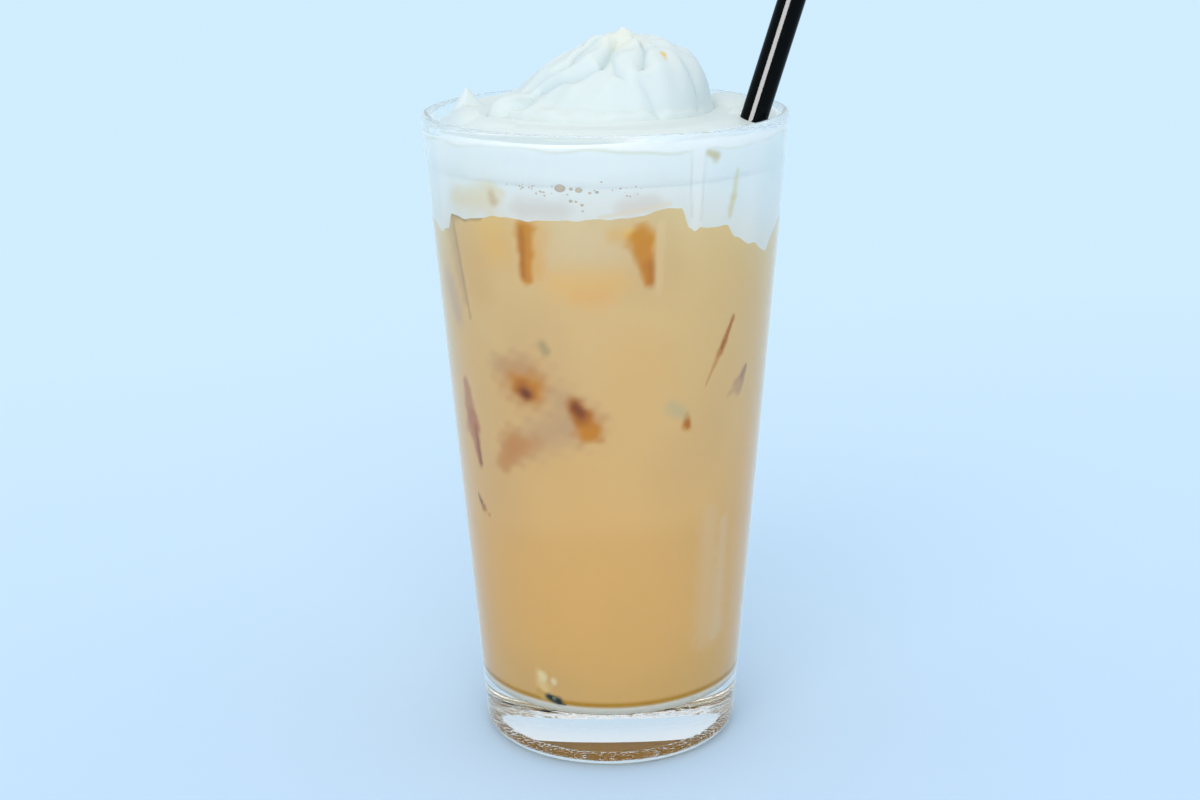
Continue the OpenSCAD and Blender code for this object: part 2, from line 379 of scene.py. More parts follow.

# Where ice touches the glass: the edges, corners and faces of the cubes, and a painted reflection on the
# glass low on the right
ICE_AND_REFLECTION_MARKS = [
    # a cube at the front, whose two upright edges touch the glass
    ((-110, 125), (-90, 125), 5.5, 5.5, 1.0, PALE, 0.8),
    ((-114.5, 128), (-113.5, 119), 3.2, 1.6, 0.95, OCHRE, 0.9),
    ((-117.3, 128.6), (-117.6, 117.8), 2.0, 1.4, 0.5, AMBER, 0.95),
    ((-118.4, 128.4), (-118.6, 118.4), 0.8, 0.5, 0.8, DEEP_AMBER, 0.6),
    ((-88, 128), (-79, 127.6), 1.6, 2.2, 0.95, OCHRE, 0.8),
    ((-83, 128.2), (-77.5, 126.2), 1.0, 2.2, 0.7, YELLOW, 0.95),
    ((-79, 127), (-76.4, 117.5), 2.8, 1.2, 0.5, AMBER, 0.95),
    ((-76, 121), (-75.4, 117), 1.3, 0.9, 0.8, DEEP_AMBER, 0.5),
    ((-72.6, 130), (-72.8, 115), 1.0, 0.8, 0.5, linear(240, 216, 166), 0.9),
    ((-106, 117), (-88, 117.4), 3.0, 3.0, 1.0, linear(248, 208, 128), 0.6),
    ((-100, 114), (-92, 114), 2.0, 2.0, 1.0, linear(246, 198, 124), 0.5),
    # its neighbour on the left, with a face along the glass
    ((-144, 126), (-138, 114), 6.0, 4.0, 0.8, linear(236, 202, 140), 0.8),
    ((-131, 127), (-129, 124), 4.0, 3.4, 1.0, linear(246, 208, 130), 0.8),
    ((-152, 128), (-147, 110), 2.0, 1.0, 1.0, MAUVE, 0.7),
    ((-150.3, 129), (-145, 106), 0.45, 0.25, 0.8, linear(196, 164, 104), 0.7),
    ((-150, 129.2), (-142, 128.8), 0.45, 0.4, 0.8, linear(150, 128, 84), 0.8),
    ((-142, 128.8), (-134, 130), 0.4, 0.2, 0.8, linear(150, 128, 84), 0.6),
    # corners that touch in the middle
    ((-133, 97), (-122, 97), 2.0, 3.0, 1.0, MAUVE, 0.7),
    ((-125, 94), (-120, 93.4), 4.0, 4.6, 1.0, BROWN, 0.7),
    ((-123, 93), (-118.8, 92.4), 2.4, 3.0, 0.7, AMBER, 0.95),
    ((-121.6, 91.6), (-120.4, 91.2), 2.2, 1.8, 0.9, DEEP_AMBER, 1.0),
    ((-121.3, 91.4), (-120.9, 91.0), 1.1, 1.0, 0.9, DARK, 1.0),
    ((-107, 91), (-101, 86), 2.6, 4.0, 1.0, MAUVE, 0.7),
    ((-128, 77.5), (-104, 85), 3.0, 4.2, 1.0, MAUVE, 0.8),
    ((-102, 89), (-97, 85), 1.6, 3.0, 0.9, BROWN, 0.8),
    ((-100, 87.4), (-97.2, 83.4), 1.9, 2.6, 0.5, AMBER, 1.0),
    ((-102.4, 90), (-99.6, 87), 1.4, 2.0, 0.8, DEEP_AMBER, 1.0),
    ((-102, 89.4), (-100.2, 87.8), 0.8, 1.1, 0.9, DARK, 0.9),
    ((-126, 77.5), (-118, 80), 2.2, 1.6, 1.0, BROWN, 0.5),
    ((-133.5, 73.5), (-128, 78.5), 2.0, 3.2, 0.8, BROWN, 0.85),
    ((-113, 103), (-112, 101.6), 1.0, 1.0, 0.9, linear(190, 176, 132), 0.8),
    # edges seen on the right
    ((-41.5, 106.5), (-47, 99), 0.45, 0.8, 0.6, DEEP_AMBER, 1.0),
    ((-47, 99), (-53, 92), 0.6, 0.15, 0.7, BROWN, 0.8),
    ((-60.5, 86), (-60, 83.6), 0.5, 1.1, 0.6, AMBER, 1.0),
    ((-60, 84.2), (-59.6, 83.4), 0.7, 0.6, 0.7, DEEP_AMBER, 0.9),
    ((-66, 88), (-62, 86.5), 1.6, 1.4, 1.0, linear(214, 206, 164), 0.8),
    ((-31, 94), (-35, 90), 0.5, 1.6, 0.6, linear(178, 144, 122), 0.9),
    ((-35, 90), (-41, 88.4), 1.4, 0.3, 0.8, MAUVE, 0.9),
    # and on the left
    ((-153.4, 90), (-151.6, 80), 1.2, 2.8, 0.5, REDDISH, 0.8),
    ((-151.2, 82), (-148.6, 71.2), 2.2, 0.8, 0.4, REDDISH, 0.95),
    ((-149.6, 80), (-148.2, 71.6), 0.3, 0.5, 0.7, linear(150, 96, 60), 0.8),
    ((-153, 63), (-149.5, 60.2), 0.3, 0.8, 0.5, DARK, 0.95),
    ((-150, 60.5), (-145, 58.6), 0.6, 0.2, 0.7, BROWN, 0.8),
    ((-158, 113), (-154, 106), 2.6, 2.2, 1.0, linear(216, 192, 164), 0.8),
    # a painted reflection: a pale streak of light on the glass low on the right
    ((-46, 60), (-43, 30), 2.2, 3.4, 1.0, linear(238, 222, 190), 0.4),
    ((-37, 58), (-36, 30), 1.2, 2.0, 1.0, linear(238, 226, 200), 0.4),
    # at the back
    ((150, 129), (148, 113), 1.6, 1.2, 0.4, AMBER, 0.9),
    ((120, 127), (121, 115), 2.4, 0.8, 0.4, AMBER, 0.9),
    ((146, 112), (124, 112), 1.7, 1.7, 0.9, OCHRE, 0.8),
    ((60, 124), (52, 108), 0.4, 0.8, 0.5, DEEP_AMBER, 0.9),
    ((94, 121), (84, 117), 3.0, 2.4, 0.8, OCHRE, 0.8),
    ((89, 118), (86, 116), 1.8, 1.2, 0.5, AMBER, 0.9),
    ((14, 116), (4, 99), 0.4, 0.8, 0.5, DEEP_AMBER, 0.85),
    ((100, 95), (122, 88), 2.6, 3.2, 0.95, MAUVE, 0.6),
    ((128, 87), (131, 82), 1.6, 2.0, 0.5, AMBER, 0.9),
    ((72, 90), (66, 84), 2.0, 3.0, 0.8, MAUVE, 0.7),
    ((69, 86.5), (66.5, 84), 1.8, 1.6, 0.5, AMBER, 0.9),
    ((67.5, 85), (66.6, 84.4), 0.8, 0.7, 0.7, DARK, 0.8),
    ((30, 85), (24, 72), 0.4, 1.5, 0.5, REDDISH, 0.85),
    ((170, 89), (178, 78), 1.8, 2.4, 0.7, BROWN, 0.8),
    ((108, 66), (100, 62), 0.3, 0.6, 0.6, DARK, 0.7),
    ((2, 71), (-6, 66), 1.2, 1.8, 0.7, AMBER, 0.8),
]

# Where the straw's foot shows in the corner, with the light that it throws up
STRAW_MARKS = [
    ((-124, 21.6), (-122, 17.4), 1.1, 1.5, 0.9, linear(250, 226, 160), 0.9),
    ((-123.4, 21.8), (-122.4, 21), 0.8, 1.0, 0.7, linear(255, 244, 196), 1.0),
    ((-117, 20.8), (-116.6, 20.4), 0.6, 0.6, 0.9, linear(255, 246, 210), 0.9),
    ((-125, 17.2), (-120.6, 16.6), 0.8, 0.6, 0.8, linear(222, 176, 70), 0.8),
    ((-119.4, 16.4), (-115, 15.6), 0.9, 1.1, 0.5, linear(20, 46, 36), 1.0),
    ((-115, 15.2), (-111.4, 14.8), 0.4, 0.15, 0.5, linear(20, 40, 30), 0.9),
    ((-117.4, 16.1), (-116.6, 16), 0.25, 0.2, 0.7, linear(150, 170, 150), 0.8),
]

# The foam's lower edge on the glass: direction and height
FOAM_EDGE = [
    (-180, 127), (-167, 126), (-160, 124.5), (-154, 125.5), (-150, 129.5), (-142, 129), (-128, 130.8),
    (-118, 130.6), (-92, 131.3), (-78, 131.9), (-71.5, 133.4), (-66, 133.1), (-62.8, 128.6), (-60.7, 127.5),
    (-58.5, 128.3), (-48, 128), (-43.5, 124.8), (-35, 122.7), (-24, 119.7), (-19, 123), (-10, 126), (2, 125),
    (10, 128.5), (24, 128), (36, 130.5), (50, 130), (54, 126.5), (58, 130.4), (80, 131.5), (94, 131.8),
    (99, 129), (103, 131), (124, 131.2), (138, 130.5), (143, 126.8), (148, 129.5), (160, 130), (172, 128.5),
]

# Stains, runs and warm patches on the foam and the cream where they touch the glass
FOAM_MARKS = [
    ((-146, 133.4), (-131, 134.6), 2.2, 2.8, 1.0, linear(241, 230, 200), 0.8),
    ((-131, 136.4), (-127, 135.8), 1.8, 1.6, 0.9, linear(240, 232, 204), 0.8),
    ((-129, 135.6), (-128.4, 134.2), 0.9, 1.1, 0.8, linear(222, 202, 164), 0.9),
    ((-118, 133.4), (-104, 133.2), 1.9, 1.9, 1.0, linear(232, 230, 227), 0.8),
    ((-84, 134), (-75, 134.8), 1.9, 1.6, 1.0, linear(234, 228, 222), 0.8),
    ((-92, 131.9), (-70, 134.2), 0.4, 0.6, 0.9, linear(243, 230, 208), 0.6),
    ((-60.5, 146), (-60.8, 129), 2.2, 1.2, 0.9, linear(251, 253, 251), 0.9),
    ((-63.4, 145), (-62.4, 131), 0.25, 0.25, 0.9, linear(222, 230, 226), 0.6),
    ((-58, 145), (-58.8, 130), 0.25, 0.25, 0.9, linear(224, 232, 228), 0.6),
    ((-57, 144.4), (-54.4, 143.6), 0.6, 1.0, 0.8, linear(214, 202, 160), 0.9),
    ((-44.8, 140), (-45.8, 134), 0.4, 0.7, 0.9, linear(230, 222, 184), 0.8),
    ((-45.8, 134), (-47, 130), 0.8, 0.5, 0.9, linear(228, 216, 172), 0.8),
    ((-152, 146), (-156, 128), 2.4, 1.4, 1.0, linear(249, 252, 251), 0.8),
    ((-36, 140), (-38, 124), 3.0, 2.6, 1.0, linear(248, 251, 249), 0.8),
    ((140, 136), (120, 134.5), 2.0, 2.4, 1.0, linear(238, 228, 194), 0.8),
    ((60, 134), (74, 135), 1.8, 1.6, 1.0, linear(234, 224, 214), 0.7),
    ((54, 146), (54, 128), 1.4, 0.9, 0.9, linear(250, 252, 250), 0.9),
]


def angle_off(phi, direction):
    """Signed difference between directions, in degrees."""
    return (np.degrees(phi) - direction + 180) % 360 - 180


def foam_edge(phi):
    """Height of the foam's lower edge on the glass."""
    where = np.array([p[0] for p in FOAM_EDGE] + [FOAM_EDGE[0][0] + 360])
    height = np.array([p[1] for p in FOAM_EDGE] + [FOAM_EDGE[0][1]])
    turn = angle_off(phi, 0)
    i = np.clip(np.searchsorted(where, turn, side="right") - 1, 0, len(where) - 2)
    t = smoothstep(where[i], where[i + 1], turn)
    z = height[i] + (height[i + 1] - height[i]) * t
    return z + 0.12 * np.sin(23 * phi + 1) + 0.1 * np.sin(41 * phi) + 0.06 * np.sin(67 * phi + 2)


def stroke(phi, z, start, end):
    """Distance on the wall from a stroke in millimetres, and how far along it each point lies."""
    scale = math.radians(1) * cavity_r((start[1] + end[1]) / 2)
    x = angle_off(phi, start[0]) * scale
    y = z - start[1]
    run = ((end[0] - start[0] + 180) % 360 - 180) * scale, end[1] - start[1]
    t = np.clip((x * run[0] + y * run[1]) / (run[0] ** 2 + run[1] ** 2), 0, 1)
    return np.hypot(x - t * run[0], y - t * run[1]), t


def add_marks(tone, phi, z, marks):
    """Blends each mark over the tone, fading from its middle to its edge."""
    ragged = np.sin(31 * phi + 0.9 * z) + np.sin(53 * phi - 1.3 * z + 1) + np.sin(17 * phi + 2.1 * z)
    for start, end, half_start, half_end, soft, colour, strength in marks:
        d, t = stroke(phi, z, start, end)
        half = half_start + (half_end - half_start) * t
        near = (d / half) * (1 + 0.08 * ragged)
        tone = blend(tone, colour, strength * (1 - smoothstep(1 - soft, 1 + soft, near)))
    return tone


# ---------------------------------------------------------------- drink and foam

COLUMNS = 480
ANGLES = np.arange(COLUMNS) * 2 * np.pi / COLUMNS
# Inner ring of the flat faces where one filling lies on another
CORE_R = 12
# The flat faces start this far inside the wall.
LATTE_INSET = 5
FOAM_INSET = 2


def wall_rows(low, high, shares):
    """Rows of points on the inside of the wall between two heights, which may vary with direction."""
    rows = []
    for share in shares:
        z = low + (high - low) * share
        r = cavity_r(z) + BITE
        rows.append(np.column_stack([r * np.cos(ANGLES), r * np.sin(ANGLES), z * np.ones(COLUMNS)]))
    return rows


def flat_ring(radius, z):
    """A level ring of points."""
    return np.column_stack([radius * np.cos(ANGLES), radius * np.sin(ANGLES), np.full(COLUMNS, z)])


def closed_rings(name, rows, low, high):
    """A closed mesh from rings, lowest first, with a single point at each end."""
    points = np.concatenate(rows + [[low, high]])
    count = len(rows) * COLUMNS
    faces = grid_faces(len(rows), COLUMNS)
    last = (len(rows) - 1) * COLUMNS
    faces += [[count, (j + 1) % COLUMNS, j] for j in range(COLUMNS)]
    faces += [[count + 1, last + j, last + (j + 1) % COLUMNS] for j in range(COLUMNS)]
    return mesh_object(name, points, faces)


def wall_coordinates(thing):
    """The points of a mesh, their directions and their heights."""
    p = mesh_points(thing)
    return p, np.arctan2(p[:, 1], p[:, 0]), p[:, 2]


def make_latte():
    """The drink: paler above, with clouds, the marks of the ice, a painted reflection low on the right, a
    dark line low on the wall and painted light in the corner under it.
    """
    edge = foam_edge(ANGLES)
    rows = [flat_ring(r, FLOOR_Z - BITE) for r in (8, 16, CORNER_C - 1)]
    for r, z in arc((CORNER_C, CORNER_Z), CORNER_R + BITE, -90, -math.degrees(INNER_LEAN), 16):
        rows.append(flat_ring(r, z))
    shares = np.concatenate([np.linspace(0, 0.06, 14)[1:-1], np.linspace(0.06, 1, 122)])
    rows += wall_rows(rows[-1][0, 2], edge, shares)
    rows += [flat_ring(cavity_r(LATTE_Z) - LATTE_INSET, LATTE_Z), flat_ring(CORE_R, LATTE_Z)]
    thing = closed_rings("latte_fill", rows, [0, 0, FLOOR_Z - BITE], [0, 0, LATTE_Z])
    _, phi, z = wall_coordinates(thing)
    rng = np.random.default_rng(SEED)
    tone = blend(LATTE_LOW_TONE, LATTE_HIGH_TONE, smoothstep(FLOOR_Z, LATTE_Z, z))
    cloud = waves(phi, z, 8, 7, rng)
    tone = blend(tone, CLOUD_TONE, 0.25 * smoothstep(-0.2, 1.4, cloud))
    tone = blend(tone, MAUVE, 0.18 * smoothstep(0.2, 1.6, -cloud))
    settled = 1 - smoothstep(*SETTLED_Z, z + 1.2 * np.sin(2 * phi))
    tone = blend(tone, SETTLED_TONE, 0.3 * settled)
    # The marks of the ice, with a painted reflection streak low on the right
    tone = add_marks(tone, phi, z, ICE_AND_REFLECTION_MARKS)
    tone = blend(tone, LINE_TONE, 1 - smoothstep(0.25, 1.0, np.abs(z - LINE_Z)))
    # Painted light: the rounded corner under the line is painted pale
    tone = blend(tone, CORNER_LIGHT_TONE, 1 - smoothstep(LINE_Z - 1, LINE_Z - 0.4, z))
    tone = add_marks(tone, phi, z, STRAW_MARKS)
    tone = blend(tone, UNDER_TONE, 1 - smoothstep(FLOOR_Z, FLOOR_Z + 0.5, z))
    paint(thing, tone)
    finish_piece(thing, "latte", latte_material())


def foam_tone(phi, z):
    """Colour of the foam and the cream's side, where they touch the glass."""
    rng = np.random.default_rng(SEED + 1)
    soft = waves(phi, z, 7, 9, rng)
    tone = blend(FOAM_TONE, CREAM_SIDE_TONE, smoothstep(134, 141, z + soft))
    uneven = 0.5 * np.sin(3 * phi + 1) + 0.3 * np.sin(11 * phi) + 0.2 * np.sin(19 * phi + 2)
    smear = CREAM_EDGE - SMEAR_H + uneven
    tone = blend(tone, SMEAR_TONE, smoothstep(-0.3, 0.3, z - smear))
    line = 1 - smoothstep(0.1, 0.5, np.abs(z - smear + 0.3))
    tone = blend(tone, SMEAR_LINE_TONE, line * (0.45 + 0.25 * np.sin(4 * phi + 1)))
    return add_marks(tone, phi, z, FOAM_MARKS)


def make_foam():
    """The foam, whose lower edge on the glass is uneven."""
    edge = foam_edge(ANGLES)
    rows = [flat_ring(CORE_R, LATTE_Z), flat_ring(cavity_r(LATTE_Z) - LATTE_INSET, LATTE_Z)]
    rows += wall_rows(edge, FOAM_Z, np.linspace(0, 1, 30))
    rows += [flat_ring(cavity_r(FOAM_Z) - FOAM_INSET, FOAM_Z), flat_ring(CORE_R, FOAM_Z)]
    thing = closed_rings("foam_fill", rows, [0, 0, LATTE_Z], [0, 0, FOAM_Z])
    _, phi, z = wall_coordinates(thing)
    paint(thing, foam_tone(phi, z))
    finish_piece(thing, "milk_foam", foam_material())


# Bubbles on the glass: direction, height and radius
BUBBLES = [
    (-104.5, 138.0, 1.15), (-98.6, 137.7, 0.8), (-101, 137.9, 0.45), (-101.2, 135.3, 0.45),
    (-97.7, 134.5, 0.4), (-97.5, 133.2, 0.3), (-95.2, 137.1, 0.4), (-93, 137.3, 0.42),
    (-99.6, 135.2, 0.3),
]
TINY_BUBBLES = 70
# Directions near which the tiny ones gather, their usual height and their radii
TRAILS = [-112, -112, -84, 60, 130, 168]
TRAIL_Z = 137.6
TINY_R = 0.1, 0.28
BUBBLE_SIDES = 14
# A bubble's rings from its edge inwards: share of the radius, and how far it bulges
BUBBLE_RINGS = [(1.0, 0.0), (0.75, 0.06), (0.4, 0.1)]
BUBBLE_BULGE = 0.11
BUBBLE_WIDE = 1.12
BUBBLE_TALL = 0.86
BUBBLE_EDGE_TONE = linear(196, 182, 164)
BUBBLE_TONE = linear(212, 196, 176)
BUBBLE_MIDDLE_TONE = linear(216, 204, 188)


def make_bubbles():
    """Low domes pressed against the glass, with a trail of tiny ones beside the large ones."""
    rng = np.random.default_rng(SEED + 2)
    places = list(BUBBLES)
    for _ in range(TINY_BUBBLES):
        side = rng.choice(TRAILS)
        places.append((side + rng.normal(0, 5), TRAIL_Z + rng.normal(0, 0.8), rng.uniform(*TINY_R)))
    points, faces, tones = [], [], []
    lean = math.sin(INNER_LEAN)
    for direction, z, radius in places:
        a = math.radians(direction)
        out = np.array([math.cos(a), math.sin(a), 0.0])
        across = np.array([-math.sin(a), math.cos(a), 0.0])
        up = np.array([lean * out[0], lean * out[1], math.cos(INNER_LEAN)])
        middle = out * (cavity_r(z) + BITE * 0.4) + np.array([0, 0, z])
        first = len(points)
        shade = rng.uniform(0.85, 1.05)
        for ring, bulge in BUBBLE_RINGS:
            for j in range(BUBBLE_SIDES):
                t = 2 * math.pi * j / BUBBLE_SIDES
                flat = across * math.cos(t) * BUBBLE_WIDE + up * math.sin(t) * BUBBLE_TALL
                points.append(middle + flat * radius * ring + out * bulge)
                tones.append((BUBBLE_EDGE_TONE if ring == 1.0 else BUBBLE_TONE) * shade)
        last = len(points) - BUBBLE_SIDES
        points.append(middle + out * BUBBLE_BULGE)
        tones.append(BUBBLE_MIDDLE_TONE * shade)
        for quad in grid_faces(len(BUBBLE_RINGS), BUBBLE_SIDES):
            faces.append([first + corner for corner in quad])
        for j in range(BUBBLE_SIDES):
            faces.append([last + j, last + (j + 1) % BUBBLE_SIDES, len(points) - 1])
    thing = mesh_object("foam_bubbles", points, faces)
    paint(thing, np.array(tones))
    thing.data.materials.append(foam_material())
    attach(thing, "root")


# ---------------------------------------------------------------- ice

# Cubes sunk in the drink: direction, height and turns about X, Y and Z
ICE = [
    (-90, 114, 5, -4, 4), (54, 115, 6, -8, 50), (126, 114, -6, 5, 128), (198, 113, 8, 4, 195),
    (-112, 86, 12, 8, -108), (32, 87, 8, -10, 35), (104, 85, -8, 10, 100), (176, 88, 10, -6, 172),
]
ICE_SIZE = 17
ICE_EDGE_R = 3.2
# Distance of a cube's middle from the axis
ICE_REACH = 23


def make_ice():
    """Rounded ice cubes, wholly inside the drink and clear of the straw."""
    parts = []
    for direction, z, *turns in ICE:
        bpy.ops.mesh.primitive_cube_add(size=ICE_SIZE * MM)
        cube = bpy.context.object
        edge = cube.modifiers.new("edge", "BEVEL")
        edge.width, edge.segments = ICE_EDGE_R * MM, 5
        bpy.ops.object.modifier_apply(modifier="edge")
        a = math.radians(direction)
        place = Vector((ICE_REACH * math.cos(a), ICE_REACH * math.sin(a), z)) * MM
        turn = Matrix()
        for degrees, axis in zip(turns[::-1], "ZYX"):
            turn = turn @ Matrix.Rotation(math.radians(degrees), 4, axis)
        cube.data.transform(Matrix.Translation(place) @ turn)
        cube.data.shade_smooth()
        parts.append(cube)
    with bpy.context.temp_override(active_object=parts[0], selected_editable_objects=parts):
        bpy.ops.object.join()
    ice = parts[0]
    ice.name = "ice_cubes"
    ice.data.materials.append(ice_material())
    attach(ice, "root")


# ---------------------------------------------------------------- whipped cream

CREAM_ROWS = 150
# The skirt rises this far above the cream's edge, within this distance of the wall.
SKIRT_RISE = 1.2
SKIRT_W = 7
# The crown: middle, height, reach, how much less it reaches on the right, how full it is in front,
# and how much fuller on the right
CROWN = np.array([4.0, 0.0])
CROWN_H = 17.2
CROWN_R = 23
CROWN_SKEW = 3
CROWN_FULL = 2, 0.45
# Its shoulder to the left of the peak: place, half-lengths and rise
SHOULDER_X = -5.5
SHOULDER_W = 4.5, 5
SHOULDER_H = 1.5
COIL_R = 25.0
COIL_H = 5.2
TIP_H = 1.0
TIP_W = 1.1

# Creases between the folds: share of the full depth, width on either side, and the distances from
# the peak and directions of the places that each one runs through
CREASE = 2.8
CREASES = [
    (0.8, 0.8, 2.0, [(4, -168), (6, -164), (11, -151), (14, -147), (18, -152), (22, -162), (26, -164)]),
    (1.0, 0.9, 2.4, [(4, -108), (8, -108), (15, -110), (17, -123), (19, -137), (21, -150), (28, -154)]),
    (0.7, 0.8, 1.6, [(3, -40), (6.5, -52), (10.5, -63), (15, -73), (18, -80)]),
    (0.5, 1.4, 0.8, [(8, -108), (12.5, -103), (17, -95), (20, -87)]),
    (0.7, 0.8, 2.2, [(6, -45), (10.5, -34), (13.5, -30), (17, -32), (21, -38)]),
    (0.5, 0.7, 1.8, [(5, -12), (10, -12), (15, -9), (19, -6)]),
    (0.4, 1.5, 1.5, [(19, -80), (23, -70), (27, -66)]),
    (0.7, 0.9, 2.4, [(3, 25), (12, 18), (24, 0)]),
    (0.8, 0.9, 2.4, [(3, 72), (12, 62), (25, 36)]),
    (0.9, 0.9, 2.6, [(4, 118), (14, 106), (27, 80)]),
    (0.8, 0.9, 2.6, [(3, 165), (14, 152), (29, 124)]),
    (0.6, 0.8, 2.2, [(8, 182), (18, 178), (30, 166)]),
]

# Lumps of the cream: middle, direction of the long axis, half-length, half-width, rise, and how
# rounded it is, where 1 is a cone
LUMPS = [
    (-31.5, 4.5, 15, 4.6, 2.6, 4.4, 1),
    (-18.5, -8.5, 24, 8, 4.4, 5.2, 2.4),
    (-31.5, -11.5, -62, 7, 3.4, 1.9, 2.2),
    (-25, -21, -42, 9, 3.0, 1.0, 2.2),
    (28.5, 5, 100, 13, 5.0, 2.6, 2.2),
    (30, -5, 80, 8, 3.0, 1.4, 2.2),
    (8, 31, 5, 13, 4.0, 1.8, 2.2),
    (-18, 27, 35, 9, 4.0, 1.5, 2.2),
]


def smooth_max(a, b, k):
    """The larger of two heights, with a soft change from one to the other."""
    h = np.maximum(k - np.abs(a - b), 0) / k
    return np.maximum(a, b) + h * h * k / 4


def crown_height(x, y):
    """Height of the crown above the skirt, with its shoulder."""
    dx, dy = x - CROWN[0], y - CROWN[1]
    d = np.hypot(dx, dy)
    side = dx / np.maximum(d, 1e-6)
    full = CROWN_FULL[0] + CROWN_FULL[1] * side
    s = np.clip(d / (CROWN_R - CROWN_SKEW * side), 0, 1)
    shoulder = SHOULDER_H * np.exp(-((dx - SHOULDER_X) / SHOULDER_W[0]) ** 2 - (dy / SHOULDER_W[1]) ** 2)
    return CROWN_H * (1 - s ** full) ** (1 / full) + shoulder


def coil_height(x, y):
    """Height of the broad coil under the crown."""
    s = np.clip(np.hypot(x + 0.5, y) / COIL_R, 0, 1)
    return COIL_H * (1 - s ** 3) ** (1 / 3)


def crease_depth(x, y, narrow=1.0):
    """How deep the creases cut at each point."""
    dx, dy = x - CROWN[0], y - CROWN[1]
    d = np.hypot(dx, dy)
    total = np.zeros(x.shape)
    for share, before, after, places in CREASES:
        path = [(reach * math.cos(math.radians(turn)), reach * math.sin(math.radians(turn)))
                for reach, turn in places]
        near, side = np.full(x.shape, 1e9), np.zeros(x.shape)
        for (ax, ay), (bx, by) in zip(path[:-1], path[1:]):
            rx, ry = bx - ax, by - ay
            t = np.clip(((dx - ax) * rx + (dy - ay) * ry) / (rx * rx + ry * ry), 0, 1)
            wx, wy = dx - ax - t * rx, dy - ay - t * ry
            off = np.hypot(wx, wy)
            side = np.where(off < near, rx * wy - ry * wx, side)
            near = np.minimum(near, off)
        fade = smoothstep(places[0][0] - 1.5, places[0][0] + 2, d)
        fade *= 1 - smoothstep(places[-1][0] - 3, places[-1][0] + 1, d)
        width = np.where(side < 0, before, after) * narrow
        total = np.maximum(total, CREASE * share * fade * np.exp(-near / width))
    return total


def cream_edge(phi):
    """Height where the cream meets the glass, lowest at the left and a little to the back."""
    low = 1 + np.cos(phi - math.radians(155))
    return CREAM_EDGE - low + 0.25 * np.sin(5 * phi + math.radians(57))


def lump_height(x, y):
    """Lumps of the cream on the swirl's foot and between it and the glass."""
    total = np.zeros(x.shape)
    for cx, cy, along, long, wide, rise, rounded in LUMPS:
        a = math.radians(along)
        u = (x - cx) * math.cos(a) + (y - cy) * math.sin(a)
        v = -(x - cx) * math.sin(a) + (y - cy) * math.cos(a)
        s = np.clip(np.hypot(u / long, v / wide), 0, 1)
        total = np.maximum(total, rise * (1 - s ** rounded) ** (1 / rounded))
    return total


def skirt_fold(phi, r):
    """A low fold that runs round the left and the front, where the skirt turns up."""
    place = 28.6 + 3.2 * np.cos(phi - math.radians(165))
    return 0.9 * smoothstep(-0.4, 0.5, np.cos(phi + math.radians(140))) * np.exp(-np.abs(r - place) / 1.1)


def cream_height(x, y):
    """Height of the cream's surface above the table."""
    r = np.hypot(x, y)
    phi = np.arctan2(y, x)
    edge = cream_edge(phi)
    inward = cavity_r(CREAM_EDGE) - r
    base = edge + (CREAM_EDGE + SKIRT_RISE - edge) * smoothstep(0, SKIRT_W, inward)
    swirl = smooth_max(crown_height(x, y), coil_height(x, y), 2.0)
    tip = TIP_H * np.exp(-(np.hypot(x - CROWN[0], y - CROWN[1]) / TIP_W) ** 2)
    uneven = 0.22 * np.sin(0.908 * x + 0.401 * y) + 0.2 * np.sin(0.506 * x - 1.1 * y + 1)
    folds = swirl - (crease_depth(x, y) + uneven) * smoothstep(0, 3, swirl)
    return base + np.maximum(folds, lump_height(x, y)) + skirt_fold(phi, r) + tip


# Flecks of syrup on the swirl: place from above, radius and strength
FLECKS = [
    (12.8, -10.5, 1.1, 0.8), (13.2, -11.6, 0.7, 0.5), (18.3, -18.0, 0.6, 0.5), (-9, 12, 0.8, 0.5),
]


def add_flecks(tone, p):
    """Blends the flecks over the tone of the cream's upper side."""
    on_top = p[:, 2] > CREAM_EDGE
    for x, y, radius, strength in FLECKS:
        d = np.hypot(p[:, 0] - x, p[:, 1] - y)
        near = 1 - smoothstep(radius * 0.3, radius, d)
        tone = blend(tone, SYRUP_TONE, strength * near * on_top)
    return tone


